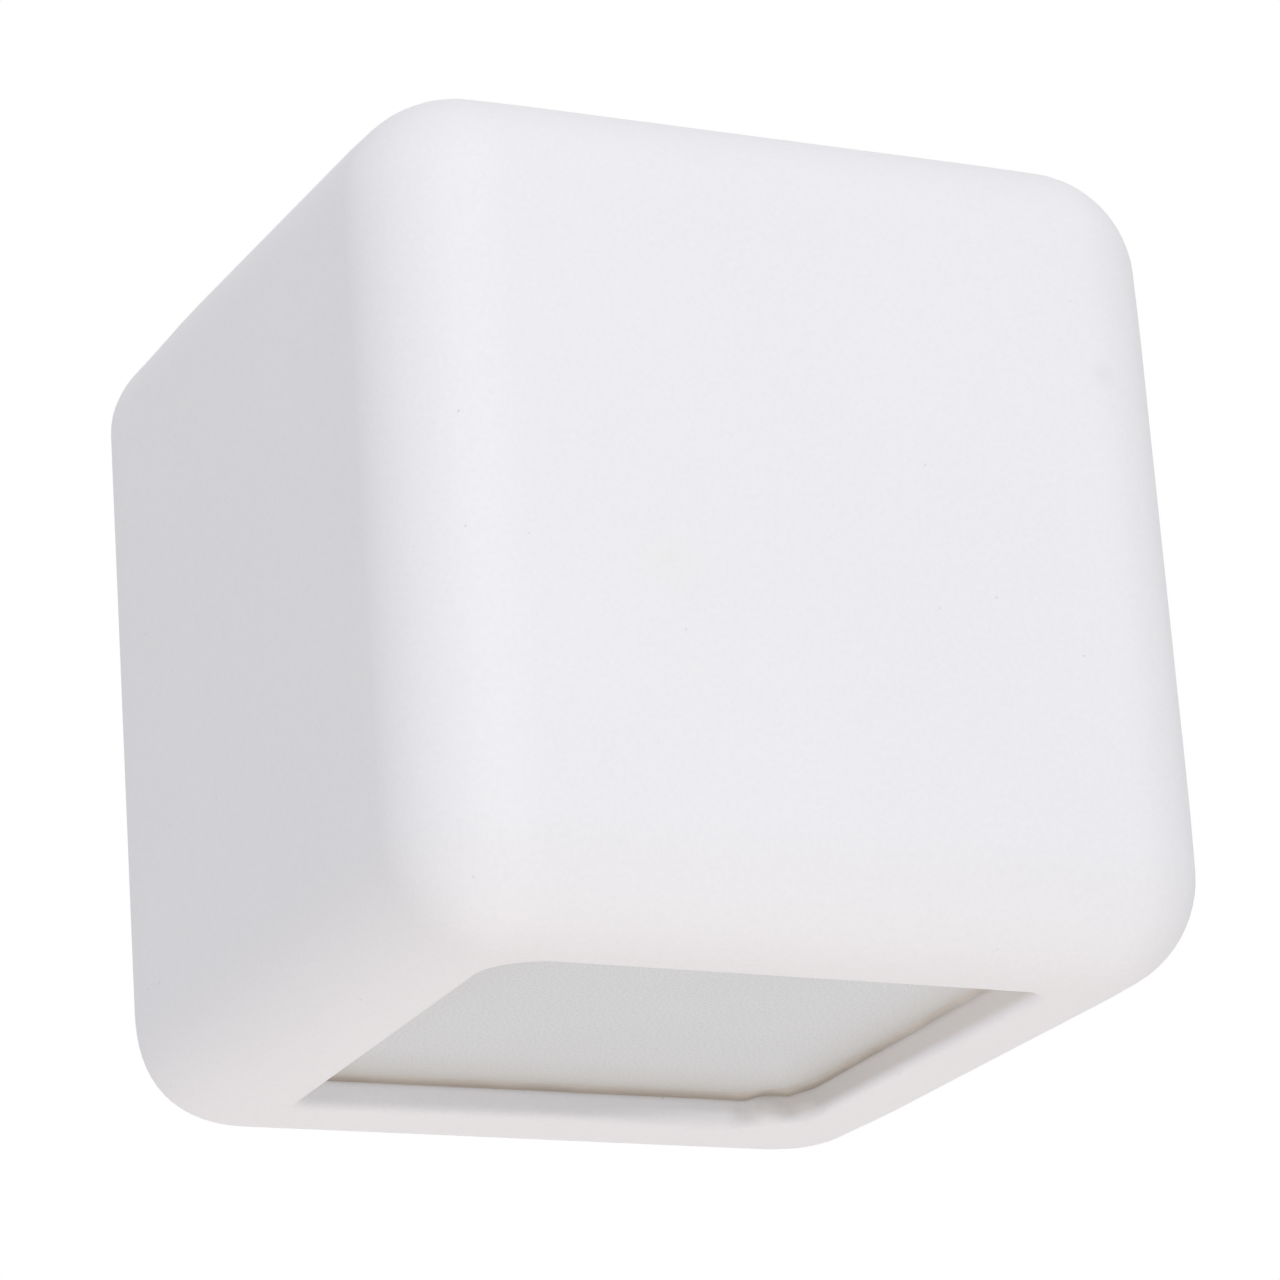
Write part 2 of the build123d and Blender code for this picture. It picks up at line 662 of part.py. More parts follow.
# Earth point: a ring tag under a washer and a screw in the plate
tag_front_out = web_front_out + earth_tag_thickness
washer_front_out = tag_front_out + earth_washer_thickness
crimp_radius = lead_radius + lead_clearance + earth_crimp_wall
crimp_out = web_front_out + crimp_radius
crimp_end_x = earth_x - earth_ring_diameter / 2 - earth_tongue_length
with BuildPart() as earth_tag:
    with BuildSketch(Plane.XZ.offset(web_front_out)):
        with Locations((earth_x, earth_z)):
            Circle(earth_ring_diameter / 2)
        with Locations((earth_x, earth_z)):
            tongue_length = earth_x - crimp_end_x + earth_tongue_length
            Rectangle(tongue_length, 2 * crimp_radius, align=(Align.MAX, Align.CENTER))
        with Locations((earth_x, earth_z)):
            Circle(earth_screw_diameter / 2 + thread_clearance, mode=Mode.SUBTRACT)
    extrude(amount=earth_tag_thickness)
    with BuildSketch(Plane.YZ.offset(crimp_end_x)):
        with Locations((-crimp_out, earth_z)):
            Circle(crimp_radius)
    extrude(amount=-earth_crimp_length)
    with BuildSketch(Plane.YZ.offset(crimp_end_x)):
        with Locations((-crimp_out, earth_z)):
            Circle(lead_radius + lead_clearance)
    extrude(amount=-earth_crimp_length, mode=Mode.SUBTRACT)
earth_tag.part.label = "earth_tag"
export_step(earth_tag.part, "parts/earth_tag.step")

with BuildPart() as earth_washer:
    with BuildSketch(Plane.XZ.offset(tag_front_out)):
        with Locations((earth_x, earth_z)):
            Circle(earth_washer_diameter / 2)
            Circle(earth_screw_diameter / 2 + thread_clearance, mode=Mode.SUBTRACT)
    extrude(amount=earth_washer_thickness)
earth_washer.part.label = "earth_washer"
export_step(earth_washer.part, "parts/earth_washer.step")

with BuildPart() as earth_screw:
    with BuildSketch(Plane.XZ.offset(web_back_out - plate_screw_tail)):
        with Locations((earth_x, earth_z)):
            Circle(earth_screw_diameter / 2)
    extrude(amount=washer_front_out - web_back_out + plate_screw_tail)
    with BuildSketch(Plane.XZ.offset(washer_front_out)):
        with Locations((earth_x, earth_z)):
            Circle(earth_head_diameter / 2)
    extrude(amount=earth_head_height)
    fillet(earth_screw.faces().sort_by(Axis.Y)[0].edges(), earth_head_round)
    with BuildSketch(Plane.XZ.offset(washer_front_out + earth_head_height)):
        with Locations((earth_x, earth_z)):
            Rectangle(earth_head_diameter, small_slot_width)
    extrude(amount=-small_slot_depth, mode=Mode.SUBTRACT)
earth_screw.part.label = "earth_screw"
export_step(earth_screw.part, "parts/earth_screw.step")


def bend_radii(points):
    """The bend at each inner point: 0.45 of the shorter run over the tangent of half the turn."""
    corners = [Vector(*point) for point in points]
    radii = []
    for before, corner, after in zip(corners, corners[1:], corners[2:]):
        turn = (corner - before).get_angle(after - corner)
        shorter_run = min((corner - before).length, (after - corner).length)
        radii.append(0.45 * shorter_run / math.tan(math.radians(turn / 2)))
    return radii


# Inner leads: live and neutral from the lampholder down to the block, earth from the block to its tag
barrel_end_z = terminal_z + barrel_length / 2 - lead_reach_in_barrel
pin_z = pin_pitch / 2
crimp_lead_x = crimp_end_x - lead_clearance
lead_routes = {
    "live_lead": [
        (0, -pocket_floor_out, pin_z),
        (0, -barrel_out, pin_z),
        (-pole_pitch, -barrel_out, pin_z - live_lead_fall),
        (-pole_pitch, -barrel_out, barrel_end_z),
    ],
    "neutral_lead": [
        (0, -pocket_floor_out, -pin_z),
        (0, -barrel_out, -pin_z),
        (0, -barrel_out, barrel_end_z),
    ],
    "earth_lead": [
        (pole_pitch, -barrel_out, barrel_end_z),
        (pole_pitch, -barrel_out, block_top_z + earth_lead_rise),
        (pole_pitch + earth_lead_run, -crimp_out, earth_z),
        (crimp_lead_x, -crimp_out, earth_z),
    ],
}
for lead_name, route in lead_routes.items():
    radii = bend_radii(route)
    with BuildPart() as lead:
        with BuildLine() as run:
            FilletPolyline(*route, radius=radii)
        with BuildSketch(Plane(origin=run.line @ 0, z_dir=run.line % 0)):
            Circle(lead_radius)
        sweep(path=run.line)
    lead.part.label = lead_name
    export_step(lead.part, "parts/" + lead_name + ".step")
    tube_volume = math.pi * lead_radius**2 * run.wire().length
    print(lead_name, "radii", [round(radius, 1) for radius in radii])
    print(lead_name, "volume", round(lead.part.volume, 2), "section times length", round(tube_volume, 2))
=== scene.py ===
# %% [markdown]
# # A ceramic wall light
# The light is a hollow cube of slip-cast porcelain with soft edges. It hangs on a folded steel bracket,
# and light leaves through an opal pane in its bottom and another in its top. The CAD model gives the true
# sizes, so it is loaded first and every new piece is built in the same frame, in metres. Small sizes are
# written in millimetres, as on a workshop drawing, and turned to metres with MM.

# %% Load the frame
import math

import bmesh
import bpy
from mathutils import Matrix, Vector, noise


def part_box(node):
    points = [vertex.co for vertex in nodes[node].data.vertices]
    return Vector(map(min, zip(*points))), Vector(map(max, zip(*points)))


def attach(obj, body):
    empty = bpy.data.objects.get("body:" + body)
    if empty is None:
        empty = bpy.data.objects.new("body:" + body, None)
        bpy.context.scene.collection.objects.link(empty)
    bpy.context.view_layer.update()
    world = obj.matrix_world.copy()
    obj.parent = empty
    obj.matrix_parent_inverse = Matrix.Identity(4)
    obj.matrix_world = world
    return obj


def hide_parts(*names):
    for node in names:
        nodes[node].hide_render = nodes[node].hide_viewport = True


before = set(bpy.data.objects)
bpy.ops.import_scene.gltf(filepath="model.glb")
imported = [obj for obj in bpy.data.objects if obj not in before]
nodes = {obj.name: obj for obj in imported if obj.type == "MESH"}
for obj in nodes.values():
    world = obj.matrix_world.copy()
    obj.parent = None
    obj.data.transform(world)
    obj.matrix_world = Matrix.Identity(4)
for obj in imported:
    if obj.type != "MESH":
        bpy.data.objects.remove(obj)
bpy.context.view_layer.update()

MM = 0.001

# %% [markdown]
# ## Camera
# The photograph was taken from below and from the left with a long lens, so parallel edges stay almost
# parallel. The camera could be aimed with a constraint, but a fixed place, aim and roll are easier to
# repeat.

# %% Camera
CAMERA_PLACE = Vector((-393.09, -837.48, -291.75)) * MM
CAMERA_AIM = Vector((-33.2, -125.0, -23.83)) * MM
CAMERA_ROLL = math.radians(-4.164)
CAMERA_LENS = 156.25
CAMERA_SENSOR = 36.0
CAMERA_REACH = 50.0


def looking(place, aim):
    """Matrix of a camera or lamp that stands at one point and looks at another."""
    turn = (Vector(aim) - Vector(place)).to_track_quat("-Z", "Y").to_matrix().to_4x4()
    return Matrix.Translation(place) @ turn


camera = bpy.data.objects.new("camera", bpy.data.cameras.new("camera"))
camera.data.lens = CAMERA_LENS
camera.data.sensor_width = CAMERA_SENSOR
camera.data.sensor_fit = "HORIZONTAL"
camera.data.clip_end = CAMERA_REACH
camera.matrix_world = looking(CAMERA_PLACE, CAMERA_AIM) @ Matrix.Rotation(CAMERA_ROLL, 4, "Z")
bpy.context.collection.objects.link(camera)
bpy.context.scene.camera = camera
bpy.context.scene.view_settings.view_transform = "Standard"
print("camera stands", round((CAMERA_AIM - CAMERA_PLACE).length, 3), "m from its aim on the front face")

# %% [markdown]
# ## Helpers for colours and nodes
# Colours are written as they are seen, in sRGB hex, but shaders add light in linear values, so one
# function turns the one into the other. A second function adds a shader node with its options and fills
# its sockets, so that each finish reads as a short list of nodes. A third turns a size in millimetres
# into the scale of a texture. The last starts a material and hands back what is needed to go on: its node
# tree, its main shader and the place on the object that every pattern is drawn by.

# %% Helpers for colours and nodes
def linear(hex_colour):
    """Linear RGBA of an sRGB hex colour."""
    channels = [int(hex_colour[i:i + 2], 16) / 255 for i in (1, 3, 5)]
    return (*[c / 12.92 if c <= 0.04045 else ((c + 0.055) / 1.055) ** 2.4 for c in channels], 1.0)


def add(tree, kind, sockets=None, **options):
    """Adds one node to a tree. Sockets are filled from other nodes' outputs or from plain values."""
    made = tree.nodes.new("ShaderNode" + kind)
    for name, value in options.items():
        setattr(made, name, value)
    for name, value in (sockets or {}).items():
        if isinstance(value, bpy.types.NodeSocket):
            tree.links.new(value, made.inputs[name])
        else:
            made.inputs[name].default_value = value
    return made


def per_mm(size):
    """Scale of a texture whose features are this many millimetres apart."""
    return 1.0 / (size * MM)


def new_finish(name, **shader):
    """A material with its shader node set to plain values; returns it, its tree, shader and coordinates."""
    material = bpy.data.materials.new(name)
    material.use_nodes = True
    tree = material.node_tree
    surface = tree.nodes["Principled BSDF"]
    for socket, value in shader.items():
        surface.inputs[socket].default_value = value
    place = add(tree, "TexCoord").outputs["Object"]
    return material, tree, surface, place


print("white", [round(c, 3) for c in linear("#FFFFFF")])

# %% [markdown]
# ## Light
# A large pale room gives most of the light. One broad soft box in front, a little above and to the left,
# makes the front the brightest side, while the left side keeps to the room's light. A warmer box from
# below, as a pale table throws light back, lifts the bottom, and a weak one overhead throws the soft
# shadow on the floor. Point lamps would be simpler, but only a broad lamp gives the soft shading of matte
# porcelain.

# %% Light
OBJECT_MIDDLE = (0.0, -0.06, 0.0)
# Name, place and width in metres, power in watts, colour
SOFT_BOXES = (
    ("front_box", (-0.49, -1.82, 0.4), 1.1, 12.4, "#FFFFFF"),
    ("low_box", (0.05, 0.05, -1.05), 0.6, 2.75, "#FFF3E9"),
    ("top_box", (0.3, -0.5, 1.8), 1.2, 1.4, "#FFFFFF"),
)

for name, place, width, power, colour in SOFT_BOXES:
    lamp = bpy.data.lights.new(name, "AREA")
    lamp.size = width
    lamp.energy = power
    lamp.color = linear(colour)[:3]
    box = bpy.data.objects.new(name, lamp)
    box.matrix_world = looking(place, OBJECT_MIDDLE)
    box.visible_camera = False
    bpy.context.collection.objects.link(box)
    print("lamp:", name, power, "W")

# %% [markdown]
# ## Background
# The world shows plain white to the camera and to reflections, and a calmer grey, dimmer overhead, to
# everything it lights. So the background can be white without more light on the object. A white backdrop
# could do the same, but it would throw its own light back.

# %% Background
ROOM_LIGHT = 0.755
CEILING_LIGHT = 0.6


def shown_directly(tree):
    """1 for a ray that shows a surface to the camera, in gloss or through glass, 0 for one that lights."""
    path = add(tree, "LightPath")
    seen = path.outputs["Is Camera Ray"]
    for kind in ("Is Glossy Ray", "Is Transmission Ray"):
        seen = add(tree, "Math", {0: seen, 1: path.outputs[kind]}, operation="MAXIMUM").outputs[0]
    return seen


world = bpy.data.worlds.new("pale_room")
bpy.context.scene.world = world
world.use_nodes = True
tree = world.node_tree
tree.nodes.clear()
# The third part of a direction is 0 at the horizon and 1 overhead
way = add(tree, "SeparateXYZ", {0: add(tree, "TexCoord").outputs["Generated"]})
dim = add(tree, "MapRange", {0: way.outputs[2], 3: ROOM_LIGHT, 4: CEILING_LIGHT})
room = add(tree, "Background", {"Color": linear("#FBFBFF"), "Strength": dim.outputs[0]})
white = add(tree, "Background", {"Color": linear("#FFFFFF"), "Strength": 1.0})
shown = add(tree, "MixShader", {0: shown_directly(tree), 1: room.outputs[0], 2: white.outputs[0]})
add(tree, "OutputWorld", {"Surface": shown.outputs[0]})
print("world:", world.name, ROOM_LIGHT, "around and", CEILING_LIGHT, "overhead")

# %% [markdown]
# ## Floor
# The light hangs on a wall, so the floor lies well below it and takes a faint shadow. It is a roll of
# pale studio paper. Far away the paper fades to white, so that no horizon cuts through the background in
# a view from the side. A curved backdrop could hide the horizon too, but only from one direction.

# %% Floor
# In metres, but for the clouds in the paper, in mm
FLOOR_DROP = 1.2
FLOOR_REACH = 30.0
FLOOR_FADE = (2.5, 10.0)
PAPER_CLOUD = 300.0

mesh = bpy.data.meshes.new("floor")
sheet = bmesh.new()
bmesh.ops.create_grid(
    sheet, x_segments=1, y_segments=1, size=FLOOR_REACH, matrix=Matrix.Translation((0, 0, -FLOOR_DROP)))
sheet.to_mesh(mesh)
sheet.free()
floor = bpy.data.objects.new("floor", mesh)
bpy.context.collection.objects.link(floor)
paper, tree, surface, place = new_finish("seamless_paper", Roughness=0.9)
cloud = add(tree, "TexNoise", {"Vector": place, "Scale": per_mm(PAPER_CLOUD), "Detail": 2.0})
tint = add(
    tree, "Mix", {0: cloud.outputs["Fac"], 6: linear("#F6F5F3"), 7: linear("#FAF9F7")}, data_type="RGBA")
tree.links.new(tint.outputs[2], surface.inputs["Base Color"])
away = add(tree, "VectorMath", {0: place}, operation="LENGTH")
far = add(
    tree, "MapRange", {0: away.outputs["Value"], 1: FLOOR_FADE[0], 2: FLOOR_FADE[1]},
    interpolation_type="SMOOTHSTEP")
share = add(tree, "Math", {0: far.outputs[0], 1: shown_directly(tree)}, operation="MULTIPLY")
white = add(tree, "Emission", {"Color": linear("#FFFFFF"), "Strength": 1.0})
sweep = add(tree, "MixShader", {0: share.outputs[0], 1: surface.outputs[0], 2: white.outputs[0]})
tree.links.new(sweep.outputs[0], tree.nodes["Material Output"].inputs["Surface"])
floor.data.materials.append(paper)
print("floor at", -FLOOR_DROP, "m, white from", FLOOR_FADE[1], "m on")

# %% [markdown]
# ## Ceramic body: the shell
# The body is cast: slip is poured into a plaster mould, a skin of about 5 mm sets on the plaster, and the
# rest is poured out. So it has an outer and an inner skin that follow each other, soft edges, and no
# seam. It could be one box with a Solidify modifier, but the openings need their own rounded walls, so
# both skins are rounded boxes here, and a flat ring closes the gap between their open backs, where the
# body meets the wall.

# %% Ceramic body: the shell
BODY_LOW, BODY_HIGH = (Vector(corner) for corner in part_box("ceramic_body"))
WALL = 5.0 * MM
EDGE_RADIUS = 18.5 * MM
EDGE_SEGMENTS = 16
BACK_RADIUS = 3.0 * MM
BACK_SEGMENTS = 5
FACING_BACK = 0.99
SAME_PLACE = 1e-6


def round_edges(shape, edges, radius, segments):
    """Bevels edges to a round."""
    return bmesh.ops.bevel(
        shape, geom=edges, offset=radius, offset_type="OFFSET", segments=segments, profile=0.5,
        affect="EDGES", material=-1, clamp_overlap=False, loop_slide=False)


def rounded_box(shape, low, high, radius, segments):
    """A box with all edges rounded but those round its back; returns the face at its back."""
    size = high - low
    place = Matrix.Translation((low + high) / 2) @ Matrix.Diagonal((*size, 1.0))
    verts = bmesh.ops.create_cube(shape, size=1.0, matrix=place)["verts"]
    edges = {edge for vert in verts for edge in vert.link_edges}
    rounded = [e for e in edges if min(v.co.y for v in e.verts) < high.y - MM]
    made = round_edges(shape, rounded, radius, segments)
    around = {f for v in made["verts"] for f in v.link_faces}
    return max((f for f in around if f.normal.y > FACING_BACK), key=lambda f: f.calc_area())


shell = bmesh.new()
outer_back = rounded_box(shell, BODY_LOW, BODY_HIGH, EDGE_RADIUS, EDGE_SEGMENTS)
round_edges(shell, list(outer_back.edges), BACK_RADIUS, BACK_SEGMENTS)
inner_low = BODY_LOW + Vector((WALL, WALL, WALL))
inner_high = Vector((BODY_HIGH.x - WALL, BODY_HIGH.y, BODY_HIGH.z - WALL))
rounded_box(shell, inner_low, inner_high, EDGE_RADIUS - WALL, EDGE_SEGMENTS)
backs = [f for f in shell.faces if all(abs(v.co.y - BODY_HIGH.y) < SAME_PLACE for v in f.verts)]
ring = [edge for face in backs for edge in face.edges]
bmesh.ops.delete(shell, geom=backs, context="FACES_ONLY")
bmesh.ops.triangle_fill(shell, use_beauty=True, use_dissolve=False, edges=ring)
print("shell:", len(shell.faces), "faces, a ring between", len(backs), "open backs")

# %% [markdown]
# ## Ceramic body: outlines for the openings
# An opening in a thick wall is easiest to build from outlines: a rounded outline at each depth, joined to
# the next by a band of faces. A boolean cut would need its rim rounded afterwards and leaves uneven
# faces. A rounded outline is four points whose corners are bevelled, and the screw hole needs plain
# circles.

# %% Ceramic body: outlines for the openings
def grown_loop(shape, corners, radii, margins, height, segments):
    """Edges of a rounded outline at one height, grown at its left, front, right and back by margins."""
    left, front, right, back = margins
    moves = ((-left, -front), (right, -front), (right, back), (-left, back))
    verts = [shape.verts.new((x + i, y + j, height)) for (x, y), (i, j) in zip(corners, moves)]
    radii = [radius + (abs(i) + abs(j)) / 2 for radius, (i, j) in zip(radii, moves)]
    shape.faces.new(verts)
    for vert, radius in zip(verts, radii):
        made = bmesh.ops.bevel(
            shape, geom=[vert], offset=radius, offset_type="ABSOLUTE", segments=segments, profile=0.5,
            affect="VERTICES", material=-1, clamp_overlap=False)
    face = made["verts"][0].link_faces[0]
    edges = list(face.edges)
    bmesh.ops.delete(shape, geom=[face], context="FACES_ONLY")
    return edges


def circle_loop(shape, centre, height, radius, segments):
    """Edges of a circle at one height."""
    place = Matrix.Translation((*centre, height))
    made = bmesh.ops.create_circle(shape, cap_ends=False, segments=segments, radius=radius, matrix=place)
    return list({edge for vert in made["verts"] for edge in vert.link_edges})


def bridge_stack(shape, loops):
    """Joins each outline of a stack to the next with a band of faces."""
    for above, below in zip(loops, loops[1:]):
        bmesh.ops.bridge_loops(shape, edges=above + below)


def open_face(shape, height, within):
    """Takes away the faces that lie within a distance of a height and returns the edges round the gap."""
    level = [f for f in shape.faces if all(abs(v.co.z - height) < within for v in f.verts)]
    edges = [e for f in level for e in f.edges if sum(g in level for g in e.link_faces) == 1]
    bmesh.ops.delete(shape, geom=level, context="FACES")
    return edges


print("outlines ready")

# %% [markdown]
# ## Ceramic body: the profile of the cut
# The openings were cut while the clay was leather-hard and wiped with a sponge, which leaves a soft rim.
# They were cut by hand along a template, so no two corners are quite alike, the knife leaned, which makes
# the outline at the outer face differ from the one at the inner face, and the sponge left a broader rim
# in front and on the left. The profile says how far each side of the outline stands back at each depth:
# first round the soft rim, then down the wall of the cut, then round the small inner edge.

# %% Ceramic body: the profile of the cut
# Front left, front right, back right and back left, in mm
OUTER_CORNERS = ((-50.4, -105.3), (45.2, -103.6), (43.9, -16.0), (-47.1, -14.7))
INNER_CORNERS = ((-50.0, -103.6), (42.2, -103.6), (43.7, -16.2), (-47.6, -16.2))
CORNER_RADII = [radius * MM for radius in (8.5, 4.0, 12.0, 2.5)]
# Left, front, right and back
RIM_RADII = [radius * MM for radius in (2.4, 2.4, 1.1, 1.6)]
INNER_RADIUS = 0.6 * MM
RIM_STEPS = 6
WALL_STEPS = 4
INNER_STEPS = 2

outer_corners = [Vector(corner) * MM for corner in OUTER_CORNERS]
inner_corners = [Vector(corner) * MM for corner in INNER_CORNERS]


def rim_margin(radius, depth):
    """How far a rounded rim still stands back from the wall of the cut at a depth."""
    left = max(0.0, radius - depth)
    return radius - math.sqrt(radius * radius - left * left)


profile = []
rim_depth = max(RIM_RADII)
for step in range(RIM_STEPS + 1):
    depth = rim_depth * (1 - math.cos(math.pi / 2 * step / RIM_STEPS))
    profile.append(([rim_margin(radius, depth) for radius in RIM_RADII], depth))
for step in range(1, WALL_STEPS):
    profile.append(([0.0] * 4, rim_depth + (WALL - INNER_RADIUS - rim_depth) * step / WALL_STEPS))
for step in range(INNER_STEPS + 1):
    angle = math.pi / 2 * step / INNER_STEPS
    margin = INNER_RADIUS * (1 - math.cos(angle))
    profile.append(([margin] * 4, WALL - INNER_RADIUS * (1 - math.sin(angle))))
print("profile:", len(profile), "outlines from the rim to", round(profile[-1][1] / MM, 1), "mm deep")

# %% [markdown]
# ## Ceramic body: the openings
# At the bottom and at the top, the flat face is taken out of both skins, the stack of outlines is
# bridged, which gives clean quads, and a triangle fill closes the land between the outlines and the box.
# A hole for the retaining screw goes through the top behind the opening.

# %% Ceramic body: the openings
LAND_DEPTH = 0.1 * MM
CORNER_STEPS = 16
SCREW_PLACE = (0.0, -9.05 * MM)
SCREW_HOLE_RADIUS = 2.5 * MM
SCREW_HOLE_EDGE = 0.5 * MM
SCREW_HOLE_STEPS = 24

for side, level in ((-1, BODY_LOW.z), (1, BODY_HIGH.z)):
    outer_land = open_face(shell, level, LAND_DEPTH)
    inner_land = open_face(shell, level - side * WALL, SAME_PLACE)
    stack = []
    for margins, depth in profile:
        corners = [outer.lerp(inner, depth / WALL) for outer, inner in zip(outer_corners, inner_corners)]
        stack.append(grown_loop(shell, corners, CORNER_RADII, margins, level - side * depth, CORNER_STEPS))
    bridge_stack(shell, stack)
    outer_land = outer_land + stack[0]
    inner_land = inner_land + stack[-1]
    if side > 0:
        hole = [
            circle_loop(shell, SCREW_PLACE, level - depth, radius, SCREW_HOLE_STEPS)
            for depth, radius in (
                (0.0, SCREW_HOLE_RADIUS + SCREW_HOLE_EDGE), (SCREW_HOLE_EDGE, SCREW_HOLE_RADIUS),
                (WALL, SCREW_HOLE_RADIUS))
        ]
        bridge_stack(shell, hole)
        outer_land = outer_land + hole[0]
        inner_land = inner_land + hole[-1]
    bmesh.ops.triangle_fill(shell, use_beauty=True, use_dissolve=False, edges=outer_land)
    bmesh.ops.triangle_fill(shell, use_beauty=True, use_dissolve=False, edges=inner_land)

bmesh.ops.remove_doubles(shell, verts=shell.verts, dist=SAME_PLACE)
bmesh.ops.recalc_face_normals(shell, faces=shell.faces)
loose = [e for e in shell.edges if not e.is_manifold]
print("openings:", len(shell.faces), "faces,", len(loose), "open edges, volume",
      round(shell.calc_volume() * 1e6, 1), "cm3")

# %% [markdown]
# ## Ceramic body: made by hand
# No cast piece is a perfect box: it warps a little in drying and in the kiln, a sponge rounds some
# corners and rims more than others, and a lump of slip has run down the wall of the lower opening in its
# back right corner. The flat faces are cut into a grid so that they can bend. Then a slow noise moves
# every point but those at the back by about a tenth of a millimetre, always inwards so that the body keeps
# to its box, and a few local pushes, which fade with distance, do the rest. A sculpt could do the same,
# but a list of pushes is easier to read and to repeat.

# %% Ceramic body: made by hand
GRID = 9.0 * MM
# More cuts across the corner with the slip, in mm along X
SLIP_CUTS = (30.5, 32.0, 33.5, 35.0)
WARP_SIZE = 70.0 * MM
WARP_DEPTH = 0.08 * MM
# What it is, its middle, how far it reaches and how far it moves the clay, in mm
PUSHES = (
    ("square corner, low left at the wall", (-64.6, 0.0, -64.6), (14.0, 34.0, 14.0), (-0.75, 0.0, -0.6)),
    ("round corner, high left at the wall", (-64.6, 0.0, 64.6), (15.0, 34.0, 15.0), (0.5, 0.0, -0.5)),
    ("round corner, high left in front", (-62.2, -117.2, 62.2), (18.0, 18.0, 18.0), (0.35, 0.35, -0.35)),
    ("round corner, high right in front", (62.2, -117.2, 62.2), (24.0, 24.0, 24.0), (-0.2, 0.2, -0.2)),
    ("round corner, low right in front", (62.2, -117.2, -62.2), (24.0, 24.0, 24.0), (-0.25, 0.25, 0.25)),
    ("round edge, low right at the wall", (56.0, 0.0, -68.5), (10.0, 26.0, 10.0), (-0.25, 0.0, 0.6)),
    ("soft rim at the back", (29.0, -15.4, -70.0), (18.0, 5.0, 3.2), (0.0, 1.4, 0.0)),
    ("soft rim right of the slip", (42.5, -21.0, -70.0), (6.0, 10.0, 3.2), (0.9, 0.5, 0.0)),
    ("run of slip", (38.4, -18.1, -65.0), (4.0, 3.6, 5.2), (-0.45, -1.05, 0.25)),
    ("hollow left of it", (35.0, -16.7, -66.6), (3.2, 3.2, 4.0), (0.1, 0.65, 0.0)),
    ("hollow right of it", (41.2, -20.8, -66.4), (2.8, 2.8, 3.6), (0.5, 0.4, 0.0)),
)

for axis in range(3):
    direction = Vector([1.0 if i == axis else 0.0 for i in range(3)])
    steps = int((BODY_HIGH[axis] - BODY_LOW[axis] - GRID / 2) / GRID)
    cuts = [BODY_LOW[axis] + GRID * (step + 1) for step in range(steps)]
    for cut in cuts + [c * MM for c in (SLIP_CUTS if axis == 0 else ())]:
        everything = list(shell.verts) + list(shell.edges) + list(shell.faces)
        bmesh.ops.bisect_plane(
            shell, geom=everything, dist=SAME_PLACE, plane_co=direction * cut, plane_no=direction)


def pushed(point):
    """How far the local pushes move a point."""
    move = Vector()
    for _, centre, reach, push in PUSHES:
        apart = point - Vector(centre) * MM
        away = min(1.0, Vector([apart[i] / (reach[i] * MM) for i in range(3)]).length)
        move += Vector(push) * MM * (1 - away * away) ** 2
    return move


middle = (BODY_LOW + BODY_HIGH) / 2
for vert in shell.verts:
    move = pushed(vert.co)
    if vert.co.y < BODY_HIGH.y - MM:
        warp = noise.noise(vert.co / WARP_SIZE)
        move += (middle - vert.co).normalized() * WARP_DEPTH * (1 + warp)
    vert.co += move
print("moved by hand:", ", ".join(push[0] for push in PUSHES))

# %% [markdown]
# ## Ceramic body: the finished piece
# The mesh becomes an object at the origin, so its place is in its mesh. It rides on the shade, the body
# that is pulled off the bracket, and stands for the plain CAD solid. Smooth shading would bend the light
# on the flat faces near their rounded edges. Supporting edge loops could stop that, but weighting the
# normals by the faces' areas does it without more faces.

# %% Ceramic body: the finished piece
SHARP_ANGLE = math.radians(60)


def to_piece(name, shape, body):
    """Turns a bmesh into an object that rides on a CAD body, smooth but for its sharp edges."""
    for face in shape.faces:
        face.smooth = True
    for edge in shape.edges:
        edge.smooth = edge.calc_face_angle(0.0) < SHARP_ANGLE
    data = bpy.data.meshes.new(name)
    shape.to_mesh(data)
    shape.free()
    piece = bpy.data.objects.new(name, data)
    bpy.context.collection.objects.link(piece)
    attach(piece, body)
    print("piece:", name, "with", len(data.polygons), "faces on", body)
    return piece


ceramic = to_piece("ceramic_shell", shell, "shade")
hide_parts("ceramic_body")
even = ceramic.modifiers.new("even_shading", "WEIGHTED_NORMAL")
even.mode = "FACE_AREA"
even.keep_sharp = True

# %% [markdown]
# ## Silicone that holds the panes
# Each pane lies on a bead of silicone run round its opening with a nozzle, pressed flat by the pane and
# wiped, so the bead has flat sides, slopes out a little onto the pane, and wanders. A curve with a bevel
# could draw it, but it would be round. Here it is a ring of bridged outlines, one for each corner of its
# section, whose points are pushed about by noise.

# %% Silicone that holds the panes
# The section's corners: outwards from the opening, and inwards from the inner face, in mm
BEAD_SECTION = (
    (0.62, 0.02), (0.32, -0.07), (0.25, 0.25), (0.12, 0.62), (-0.1, 0.86), (-0.5, 1.0),
    (1.8, 0.93), (1.9, 0.5), (1.8, 0.07))
BEAD_WANDER = 0.25 * MM
BEAD_WANDER_SIZE = 6.0 * MM
LONG_RUN = 20.0 * MM
LONG_RUN_CUTS = 40


